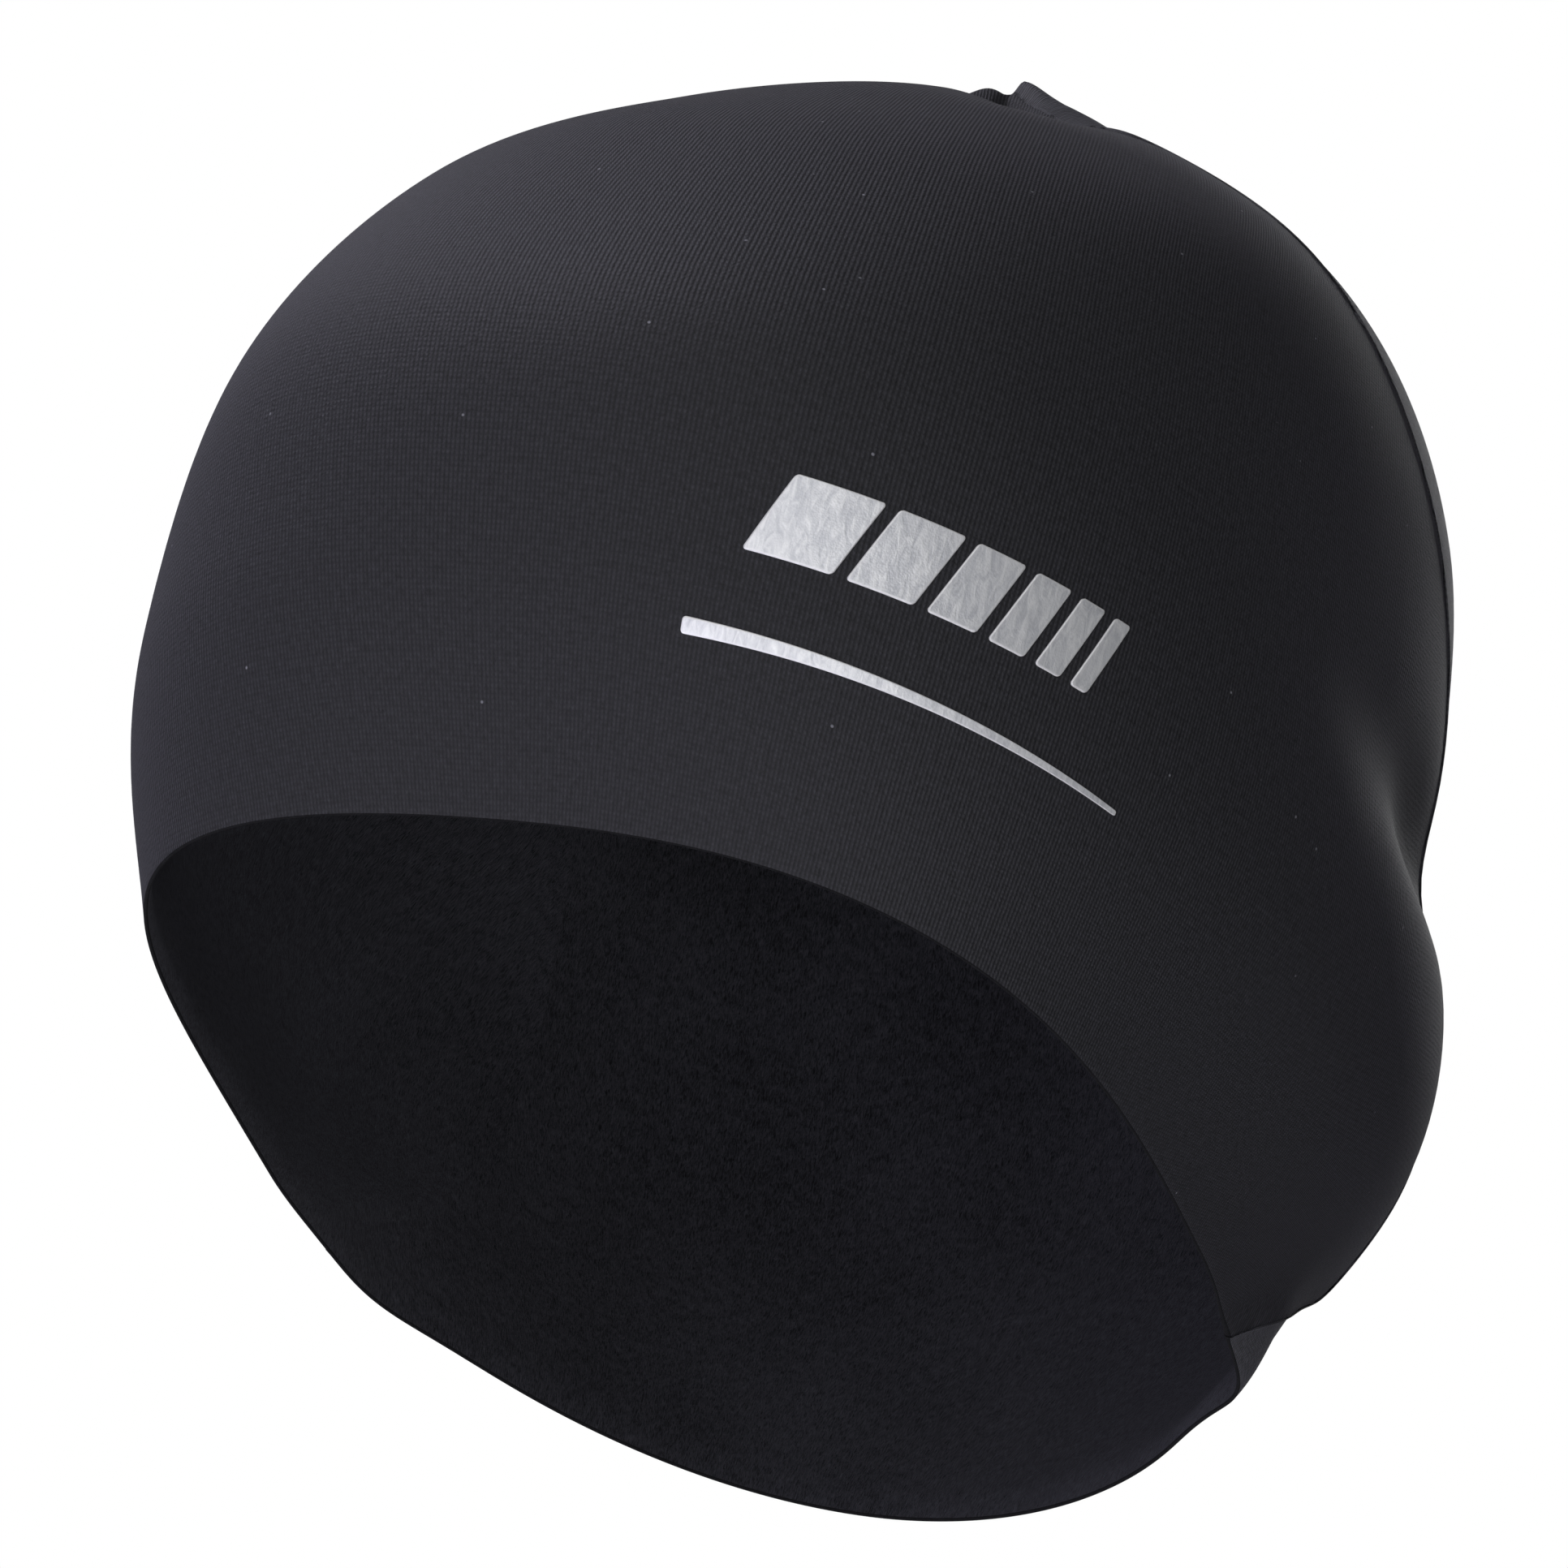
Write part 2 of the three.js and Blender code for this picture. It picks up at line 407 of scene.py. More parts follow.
    def pushed(self, angle: Array, course: Array, highest: float) -> Array:
        """Points of the cap with its folds, gathers and puckers.

        Args:
            angle: Degrees from the front.
            course: Courses from the crown.
            highest: The most that the puckers and the seam may stand out.

        Returns:
            Points in millimetres.
        """
        points = self.smooth(angle, course)
        out = self.folded(points, angle) + self.gathered(points, self.gathers)
        out += np.minimum(self.puckered(points, angle, course), highest)
        return points + self.normals(self.smooth, angle, course) * out[..., None]

    def outside(self, angle: Array, course: Array) -> Array:
        """Points on the outside."""
        return self.pushed(angle, course, math.inf)

    def lining(self, angle: Array, course: Array) -> Array:
        """Points one wall out from the inside, which follows the pockets but not the raised edges."""
        return self.pushed(angle, course, 0.0)

    def inside(self, angle: Array, course: Array) -> Array:
        """Points on the inside, where the wall grows thin towards the hem.

        Args:
            angle: Degrees from the front.
            course: Courses from the crown.

        Returns:
            Points in millimetres.
        """
        left = np.clip((self.hem - course) / self.hem_taper, 0, 1)
        wall = self.hem_wall + (self.wall - self.hem_wall) * left * (2 - left)
        return self.lining(angle, course) - self.normals(self.lining, angle, course) * wall[..., None]


# Materials


def linear(colour: str) -> tuple[float, float, float, float]:
    """Turns an sRGB hex colour into linear red, green, blue and alpha.

    Args:
        colour: Six hex digits, such as "1b1c20".

    Returns:
        Four parts from 0 to 1.
    """
    parts = [int(colour[i : i + 2], 16) / 255 for i in (0, 2, 4)]
    turned = [p / 12.92 if p <= 0.04045 else ((p + 0.055) / 1.055) ** 2.4 for p in parts]
    return (*turned, 1.0)


def add_node(tree: NodeTree, kind: str, inputs: dict | None = None, **settings: object) -> Node:
    """Adds a node to a tree, sets its properties and links or sets its inputs.

    Args:
        tree: The node tree.
        kind: The node's type name, without its ShaderNode.
        inputs: For each input by name or number a value, a socket to link from, or a node whose first
            output is linked.
        settings: The node's own properties.

    Returns:
        The node.
    """
    node = tree.nodes.new("ShaderNode" + kind)
    for name, value in settings.items():
        setattr(node, name, value)
    for name, value in (inputs or {}).items():
        if isinstance(value, Node):
            value = value.outputs[0]
        if isinstance(value, NodeSocket):
            tree.links.new(value, node.inputs[name])
        else:
            node.inputs[name].default_value = value
    return node


def new_material(name: str) -> tuple[Material, NodeTree]:
    """Makes an empty node material.

    Args:
        name: The material's name.

    Returns:
        The material and its tree.
    """
    material = bpy.data.materials.new(name)
    material.use_nodes = True
    material.node_tree.nodes.clear()
    return material, material.node_tree


def finish_material(tree: NodeTree, inputs: dict) -> None:
    """Ends a material's tree with the Principled shader and its output."""
    shader = add_node(tree, "BsdfPrincipled", inputs)
    add_node(tree, "OutputMaterial", {"Surface": shader})


def mix_colours(tree: NodeTree, share: object, low: object, high: object) -> NodeSocket:
    """Mixes two colours, or nodes or sockets that give one. A share of 1 is all high."""
    return add_node(tree, "Mix", {0: share, 6: low, 7: high}, data_type="RGBA").outputs[2]


UV_NAME = "knit"
EDGE_NAME = "edge"


@dataclass(frozen=True)
class Jersey:
    """Polyester and elastane thermal jersey: dull cloth whose fibres give a soft sheen at its edges."""

    name: str
    roughness: float
    specular: float
    sheen: float
    sheen_roughness: float
    sheen_tint: str

    def finish(self, tree: NodeTree, colour: NodeSocket, bump: Node) -> None:
        """Ends the jersey's material.

        Args:
            tree: The material's tree.
            colour: Its colour.
            bump: Its bump.
        """
        inputs = {
            "Base Color": colour,
            "Roughness": self.roughness,
            "Diffuse Roughness": 1.0,
            "Specular IOR Level": self.specular,
            "Sheen Weight": self.sheen,
            "Sheen Roughness": self.sheen_roughness,
            "Sheen Tint": linear(self.sheen_tint),
            "Normal": bump,
        }
        finish_material(tree, inputs)


@dataclass(frozen=True)
class ThermalKnit(Jersey):
    """The jersey's smooth face. Lengths are in millimetres.

    The fine wales catch a side light as thin lines, and the filament's gloss is a cool sheen at the edge.
    """

    name: str = "black_thermal_jersey_face"
    colour: str = "313136"
    # groove is painted shade: the darker colour drawn in the grooves between the wales and at the loops'
    # feet
    groove: str = "1c1c20"
    # colour of the pale specks: partly lint, partly painted glints of light on the fibres
    lint_and_glint: str = "7c7c84"
    wale: float = 0.6  # spacing of the vertical lines of stitches
    stitch: float = 0.7  # height of one stitch
    drift: float = 11.11  # spacing of the places where the wales wander
    wander: float = 0.35  # how far they do, in wales
    relief: float = 0.13  # depth between two wales
    bump: float = 0.8  # how much of the relief shows
    foot: float = 0.45  # height of a loop's foot, where its head is 1
    yarn: float = 0.42  # width of a yarn's loop
    fuzz: float = 1.5  # how far its fibres stand out, where a loop's head is 1
    blotch: float = 1.0  # width of the soft light and dark places in the dye
    blotch_noise: tuple[float, float] = (0.3, 0.7)  # the noise where the dye is darkest and lightest
    blotch_tone: tuple[float, float] = (0.6, 1.5)  # how bright the colour is there
    lint_and_glint_spacing: float = 3.4  # spacing of the places that may hold a pale speck, partly lint and partly a painted glint
    lint_and_glint_rare: float = 0.82  # share of them that holds none
    speck: tuple[float, float] = (0.035, 0.075)  # where a speck starts to fade and ends, in that spacing
    roughness: float = 0.72
    specular: float = 0.35
    sheen: float = 0.08
    sheen_roughness: float = 0.2
    sheen_tint: str = "c8c4dc"

    def stitches(self, tree: NodeTree, uv: NodeSocket) -> Node:
        """Adds the height of the knit's stitches: vertical ridges of slanted loops.

        Args:
            tree: The material's tree.
            uv: Places along the knit in metres.

        Returns:
            A node that goes from 0 in the grooves to 1 on the loops.
        """
        add = partial(add_node, tree)
        drift = add("TexNoise", {"Vector": uv, "Scale": 1 / (self.drift * MM), "Detail": 2.0})
        place = add("SeparateXYZ", {0: uv})
        wander = add("Math", {0: drift, 1: self.wander * self.wale * MM, 2: place}, operation="MULTIPLY_ADD")
        turns = add("Math", {0: wander, 1: 1 / (self.wale * MM)}, operation="MULTIPLY")
        phase = add("Math", {0: turns, 1: math.tau}, operation="MULTIPLY")
        wave = add("Math", {0: phase}, operation="COSINE")
        # A MapRange reads the range in its inputs 1 and 2, and gives the one in 3 and 4 or else 0 to 1
        ridge = add("MapRange", {0: wave, 1: -1.0, 2: 1.0})
        share = add("Math", {0: turns}, operation="FRACT")
        side = add("Math", {0: share, 1: 0.5}, operation="SUBTRACT")
        arm = add("Math", {0: side}, operation="ABSOLUTE")
        along = place.outputs[1]
        rise = add("Math", {0: along, 1: 1 / (self.stitch * MM), 2: arm}, operation="MULTIPLY_ADD")
        lap = add("Math", {0: rise, 1: math.tau}, operation="MULTIPLY")
        swing = add("Math", {0: lap}, operation="COSINE")
        loop = add("MapRange", {0: swing, 1: -1.0, 2: 1.0, 3: self.foot, 4: 1.0})
        return add("Math", {0: ridge, 1: loop}, operation="MULTIPLY")

    def build(self) -> Material:
        """Makes the material, which reads the panel's own UV map in metres.

        Returns:
            The material.
        """
        material, tree = new_material(self.name)
        add = partial(add_node, tree)
        uv = add("UVMap", uv_map=UV_NAME).outputs[0]
        stitches = self.stitches(tree, uv)
        fibre = add("TexNoise", {"Vector": uv, "Scale": 1 / (self.yarn * MM), "Detail": 3.0})
        height = add("Math", {0: fibre, 1: self.fuzz, 2: stitches}, operation="MULTIPLY_ADD")
        bump = add("Bump", {"Strength": self.bump, "Distance": self.relief * MM, "Height": height})
        scale = 1 / (self.blotch * MM)
        mottle = add("TexNoise", {"Vector": uv, "Scale": scale, "Detail": 5.0, "Roughness": 0.7})
        low, high = self.blotch_noise
        dark, light = self.blotch_tone
        tone = add("MapRange", {0: mottle, 1: low, 2: high, 3: dark, 4: light})
        # Painted shade: the colour darkens from the loops' tops down into the grooves and the loops' feet
        face = mix_colours(tree, stitches, linear(self.groove), linear(self.colour))
        toned = add("VectorMath", {0: face, "Scale": tone}, operation="SCALE")
        # Pale specks, partly lint and partly painted glints of light on the fibres
        cell = add("TexVoronoi", {"Vector": uv, "Scale": 1 / (self.lint_and_glint_spacing * MM)})
        full, end = self.speck
        speck = add("MapRange", {0: cell.outputs["Distance"], 1: full, 2: end, 3: 1.0, 4: 0.0})
        chance = add("SeparateXYZ", {0: cell.outputs["Color"]})
        rare = add("Math", {0: chance, 1: self.lint_and_glint_rare}, operation="GREATER_THAN")
        lint_and_glint = add("Math", {0: speck, 1: rare}, operation="MULTIPLY")
        self.finish(tree, mix_colours(tree, lint_and_glint, toned, linear(self.lint_and_glint)), bump)
        return material


@dataclass(frozen=True)
class BrushedBack(Jersey):
    """The jersey's inside, brushed to a short nap, or its cut edge along the hem, painted darker as shade.
    Lengths are in millimetres.

    The nap makes it dull and darker, with short fibres that catch light singly; the partings between its
    tufts are painted darker as shade.
    """

    name: str = "black_thermal_jersey_brushed"
    colour: str = "424249"
    parting_shade: str = "101013"
    fibre: tuple[float, float] = (0.24, 0.9)  # width and length of a tuft of nap
    clump: float = 2.0  # width of a clump of tufts
    clump_rise: float = 0.25  # how high it stands, where a tuft is 1
    patch: float = 30.0  # width of the places where the nap lies another way
    patch_tone: float = 0.16  # how much paler they are, where a tuft is 1
    tone_range: tuple[float, float] = (0.54, 0.96)  # the sum of the three over which the colour goes from the partings' painted shade to the nap
    relief: float = 0.3
    bump: float = 0.9  # how much of the relief shows
    roughness: float = 0.95
    specular: float = 0.2
    sheen: float = 0.12
    sheen_roughness: float = 0.4
    sheen_tint: str = "c4c4d2"

    def build(self) -> Material:
        """Makes the material, which reads the panel's own UV map in metres.

        Returns:
            The material.
        """
        material, tree = new_material(self.name)
        add = partial(add_node, tree)
        uv = add("UVMap", uv_map=UV_NAME).outputs[0]
        across, along, clump, patch = (1 / (size * MM) for size in (*self.fibre, self.clump, self.patch))
        combed = add("Mapping", {"Vector": uv, "Scale": (across, along, 1.0)})
        tuft = {"Vector": combed, "Scale": 1.0, "Detail": 3.0, "Roughness": 0.65, "Distortion": 0.9}
        tufts = add("TexNoise", tuft)
        clumps = add("TexNoise", {"Vector": uv, "Scale": clump, "Detail": 2.0})
        patches = add("TexNoise", {"Vector": uv, "Scale": patch, "Detail": 1.0})
        height = add("Math", {0: clumps, 1: self.clump_rise, 2: tufts}, operation="MULTIPLY_ADD")
        lain = add("Math", {0: patches, 1: self.patch_tone, 2: height}, operation="MULTIPLY_ADD")
        bump = add("Bump", {"Strength": self.bump, "Distance": self.relief * MM, "Height": height})
        # Painted shade: the colour is darker where the nap stands low, in the partings between tufts; the
        # broad patches make it paler at random
        low, high = self.tone_range
        tone = add("MapRange", {0: lain, 1: low, 2: high})
        self.finish(tree, mix_colours(tree, tone, linear(self.parting_shade), linear(self.colour)), bump)
        return material


@dataclass(frozen=True)
class ReflectiveFilm:
    """Silver glass-bead heat transfer film, pressed on. Lengths are in millimetres.

    It is a satin grey metal that glitters where it faces the light, with sparkle also painted along its
    creases.
    """

    name: str = "silver_reflective_transfer_film"
    colour: str = "f2f3f5"
    shade: str = "d0d2d7"
    border: str = "ececee"
    metal: float = 0.35
    crease: float = 1.1  # spacing of the fine creases left by the press and the knit
    crease_length: float = 3.0  # how long they are, where their spacing is 1
    crease_noise: tuple[float, float] = (0.35, 0.65)  # the noise where the shade and the colour show
    lean: float = 40.0  # how far they lean from the wales, in degrees
    bead: float = 0.3  # spacing of the bead clusters that glitter, coarser than real beads so that they show
    bead_rise: float = 0.3  # how high they stand, where a crease is 1
    bead_edge: float = 0.6  # where a cluster ends, in that spacing
    gloss: tuple[float, float] = (0.3, 0.46)  # roughness in a cluster's middle and at its end
    relief: float = 0.09
    bump: float = 0.7  # how much of the relief shows
    seal: float = 0.35  # width of the clearer border that the film's carrier leaves
    seal_full: float = 0.5  # how much of that width is full border

    def build(self) -> Material:
        """Makes the material, which reads the piece's UV map and its distance from the edge, in metres.

        Returns:
            The material.
        """
        material, tree = new_material(self.name)
        add = partial(add_node, tree)
        uv = add("UVMap", uv_map=UV_NAME).outputs[0]
        fine = 1 / (self.crease * MM)
        turn, scale = (0, 0, math.radians(self.lean)), (fine, fine / self.crease_length, 1.0)
        turned = add("Mapping", {"Vector": uv, "Rotation": turn, "Scale": scale})
        crease = {"Vector": turned, "Scale": 1.0, "Detail": 3.0, "Roughness": 0.65, "Distortion": 1.0}
        creases = add("TexNoise", crease)
        beads = add("TexVoronoi", {"Vector": uv, "Scale": 1 / (self.bead * MM)})
        height = add("Math", {0: beads, 1: self.bead_rise, 2: creases}, operation="MULTIPLY_ADD")
        bump = add("Bump", {"Strength": self.bump, "Distance": self.relief * MM, "Height": height})
        low, high = self.crease_noise
        # Painted light and shade: the film is paler along the creases' ridges as painted sparkle, and darker
        # towards the shade colour between them
        tone = add("MapRange", {0: creases, 1: low, 2: high})
        edge = add("Attribute", attribute_name=EDGE_NAME).outputs["Fac"]
        sealed = add("MapRange", {0: edge, 1: self.seal * MM, 2: self.seal * MM * self.seal_full})
        foil = mix_colours(tree, tone, linear(self.shade), linear(self.colour))
        glossy, dull = self.gloss
        inputs = {
            "Base Color": mix_colours(tree, sealed, foil, linear(self.border)),
            "Metallic": self.metal,
            "Roughness": add("MapRange", {0: beads, 1: 0.0, 2: self.bead_edge, 3: glossy, 4: dull}),
            "Normal": bump,
        }
        finish_material(tree, inputs)
        return material


# Pieces


def mesh_piece(name: str, points: Array, faces: list, uv: Array) -> Object:
    """Makes a mesh object at the origin from points in millimetres, with its UV map in metres.

    Args:
        name: The piece's name.
        points: Points, one row each.
        faces: Faces as tuples of point numbers, seen anticlockwise from outside.
        uv: One pair of UV values for each point, in metres.

    Returns:
        The new object.
    """
    mesh = bpy.data.meshes.new(name)
    mesh.from_pydata((points * MM).tolist(), [], faces)
    layer = mesh.uv_layers.new(name=UV_NAME)
    corners = np.zeros(len(mesh.loops), int)
    mesh.loops.foreach_get("vertex_index", corners)
    layer.data.foreach_set("uv", uv[corners].astype(np.float32).ravel())
    mesh.update()
    piece = bpy.data.objects.new(name, mesh)
    bpy.context.scene.collection.objects.link(piece)
    return piece


def merge_doubles(piece: Object, distance: float = 1e-6) -> None:
    """Joins points of a piece that share a place, such as a row at the crown's top, and smooths its faces.

    Args:
        piece: The piece.
        distance: How near points share a place, in metres.
    """
    work = bmesh.new()
    work.from_mesh(piece.data)
    bmesh.ops.remove_doubles(work, verts=work.verts, dist=distance)
    bmesh.ops.dissolve_degenerate(work, edges=work.edges, dist=distance)
    for face in work.faces:
        face.smooth = True
    work.to_mesh(piece.data)
    work.free()


@dataclass
class KnitPanel:
    """One cut panel of knit between the seams: a closed sheet with an outside, a round hem and an inside."""

    name: str
    node: str
    middle: float  # degrees from the front to the panel's middle
    flat: tuple[float, float]  # width and length of the unworn panel, in metres
    area: float  # of the unworn panel, in square metres
    form: CapForm
    grain: float = 0.0  # degrees from the panel's middle to the wale that runs straight down
    columns: int = 214
    rows: int = 176
    crowding: tuple[tuple[float, float, float], ...] = ((0, 0.8, 2.6), (5.65, 0.45, 1.4))
    places: int = 2001  # places down the panel at which the crowding is added up
    groove: float = 0.1  # depth of the valley along the seam
    edge_steps: tuple[float, ...] = (0, 0.05, 0.12, 0.25, 0.45, 0.7, 1.0, 1.4, 1.9, 2.6, 3.5, 4.7)
    edge_share: float = 0.3  # the most of the panel's half that these steps take up
    rim_steps: int = 3
    rim_knit: float = 0.5  # knit from one step of the rim to the next
    fan: float = 1.6  # the course from which the wales fan out in full
    piece: Object | None = field(default=None, init=False)

    def half_angle(self, course: Array) -> Array:
        """Degrees from the panel's middle to its seam at each course."""
        seam = self.form.seam(course)
        return seam if self.middle == 0 else 180 - seam

    def grid(self) -> tuple[Array, Array]:
        """Sets out the panel's points.

        The columns stand closer by the seams, and the rows where crowding says: its middle, its reach in
        courses and how many more rows there are.

        Returns:
            Degrees from the panel's middle and courses, as two grids with the crown first.
        """
        places = np.linspace(0, self.form.hem, self.places)
        density = 1 + sum(more * bell(places - middle, reach) for middle, reach, more in self.crowding)
        passed = np.concatenate([[0], np.cumsum((density[1:] + density[:-1]) / 2)])
        course = np.interp(np.linspace(0, passed[-1], self.rows + 1), passed, places)
        half = self.half_angle(course)
        near_seam = self.form.smooth(np.stack([half, half - 1]) + self.middle, np.stack([course, course]))
        per_degree = np.linalg.norm(near_seam[1] - near_seam[0], axis=-1)
        steps = np.array(self.edge_steps)
        most = self.edge_share * half / steps[-1]
        per_millimetre = np.minimum(1 / np.maximum(per_degree, self.form.probe), most)
        edge = half[:, None] - steps * per_millimetre[:, None]
        share = np.linspace(-1, 1, self.columns - 2 * len(steps) + 3)[1:-1]
        angle = np.hstack([-edge, edge[:, -1:] * share, edge[:, ::-1]])
        return angle, np.repeat(course[:, None], angle.shape[1], axis=1)

    def seam_distance(self, points: Array, angle: Array, course: Array) -> Array:
        """How far the nearer seam is.

        Args:
            points: Points of the panel.
            angle: Their degrees from the panel's middle.
            course: Their courses from the crown.

        Returns:
            Millimetres.
        """
        radius = np.hypot(points[..., 0], points[..., 1])
        away = np.clip(self.half_angle(course) - np.abs(angle), 0, 90)
        return radius * np.sin(np.radians(away))

    def valley(self, distance: Array) -> Array:
        """How far the edge turns in at each distance from the seam: a quarter of a circle."""
        left = np.clip(self.groove - distance, 0, self.groove)
        return self.groove - np.sqrt(np.maximum(self.groove**2 - left**2, 0))

    def uv(self, angle: Array, course: Array, points: Array) -> Array:
        """Places along the knit. Round the crown the wales lie side by side, and lower down they fan out.

        Args:
            angle: Degrees from the panel's middle.
            course: Courses from the crown.
            points: Points of the panel.

        Returns:
            Metres across the wales and along them from the crown.
        """
        turn = np.radians(angle - self.grain)
        round_crown = np.clip(1 - course / self.fan, 0, 1)
        across = self.form.wales(course) * (round_crown * np.sin(turn) + (1 - round_crown) * turn)
        down = np.linalg.norm(np.diff(points, axis=0), axis=-1)
        along = np.vstack([np.zeros((1, points.shape[1])), np.cumsum(down, axis=0)])
        return np.stack([across, -along], -1) * MM

    def build(self) -> None:
        """Makes the panel's closed mesh, whose faces along the seams count as its outside."""
        turned, course = self.grid()
        angle = turned + self.middle
        outside = self.form.outside(angle, course)
        normal = self.form.normals(self.form.outside, angle, course)
        outer = outside - normal * self.valley(self.seam_distance(outside, turned, course))[..., None]
        inner = self.form.inside(angle, course)
        sheet, uv = self.with_rim(outer, inner, self.uv(turned, course, outside))
        faces = self.faces(*sheet.shape[:2])
        self.piece = mesh_piece(self.name, sheet.reshape(-1, 3), faces, uv.reshape(-1, 2))
        in_row = sheet.shape[1] - 1
        hem, inside = self.rows * in_row, (self.rows + self.rim_steps + 1) * in_row
        side = np.full(len(faces), Side.OUTSIDE.value)
        side[hem:inside] = Side.CUT_EDGE.value
        side[inside : (len(sheet) - 1) * in_row] = Side.INSIDE.value
        self.piece.data.polygons.foreach_set("material_index", side)
        merge_doubles(self.piece)

    def with_rim(self, outer: Array, inner: Array, uv: Array) -> tuple[Array, Array]:
        """Joins the outside to the inside by a half-round rim along the hem.

        Args:
            outer: The outside's grid of points, crown first.
            inner: The inside's grid.
            uv: The grid of places along the knit.

        Returns:
            One grid that runs down the outside, round the rim and up the inside, and its places along
            the knit.
        """
        centre = (outer[-1] + inner[-1]) / 2
        out = (outer[-1] - inner[-1]) / 2
        down = outer[-1] - outer[-2]
        down -= out * (np.sum(down * out, -1) / np.sum(out * out, -1))[:, None]
        down *= (np.linalg.norm(out, axis=-1) / np.linalg.norm(down, axis=-1))[:, None]
        turns = np.linspace(0, math.pi, self.rim_steps + 2)[1:-1]
        rim = np.stack([centre + out * math.cos(t) + down * math.sin(t) for t in turns])
        rim_uv = np.stack([uv[-1] - [0, (i + 1) * self.rim_knit * MM] for i in range(self.rim_steps)])
        return np.concatenate([outer, rim, inner[::-1]]), np.concatenate([uv, rim_uv, uv[::-1]])

    def faces(self, rows: int, columns: int) -> list[tuple[int, ...]]:
        """Joins the sheet's points, and closes its two edges along the seams.

        Args:
            rows: Rows of points, down the outside and up the inside.
            columns: Columns of points.

        Returns:
            Faces as tuples of point numbers, the grid's first.
        """
        number = np.arange(rows * columns).reshape(rows, columns)
        quads = np.stack([number[:-1, :-1], number[1:, :-1], number[1:, 1:], number[:-1, 1:]], -1)
        faces = [tuple(q) for q in quads.reshape(-1, 4).tolist()]
        for column, forward in ((0, False), (columns - 1, True)):
            edge = number[:, column].tolist()
            for row in range(self.rows):
                back = rows - 1 - row
                wall = (edge[row], edge[row + 1], edge[back - 1], edge[back])
                faces.append(wall[::-1] if forward else wall)
            rim = tuple(edge[self.rows : rows - self.rows])
            faces.append(rim[::-1] if forward else rim)
        return faces

    def dress(self, outside: Material, inside: Material, edge: Material) -> None:
        """Gives the panel the knit's face, its brushed inside and its cut edge, in the order of Side."""
        for material in outside, inside, edge:
            self.piece.data.materials.append(material)

    def declare(self) -> None:
        """Tells the frame what the panel rides on and what it stands for."""
        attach(self.piece, BODY)
        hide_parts(self.node)


@dataclass(frozen=True)
class Block:
    """A slanted block of the print. Start is where the middle of its left side is along the bar."""

    start: float
    width: float
    height: float = 11.0
    slant: float = 4.5

    def place(self, u: Array, v: Array) -> tuple[Array, Array]:
        """Places along and above the bar's middle line for shares of the block's width and height."""
        return self.start + self.width * u + self.slant * (v - 0.5), self.height * (v - 0.5)


@dataclass(frozen=True)
class Line:
    """The print's thin line, which tapers to the wearer's left."""

    width: float = 62.0
    height: float = 2.2
    taper: float = 0.7

    def place(self, u: Array, v: Array) -> tuple[Array, Array]:
        """Places along and above the line's middle for shares of its length and its width."""
        return self.width * (u - 0.5), self.height * (v - 0.5) * (1 - self.taper * u)


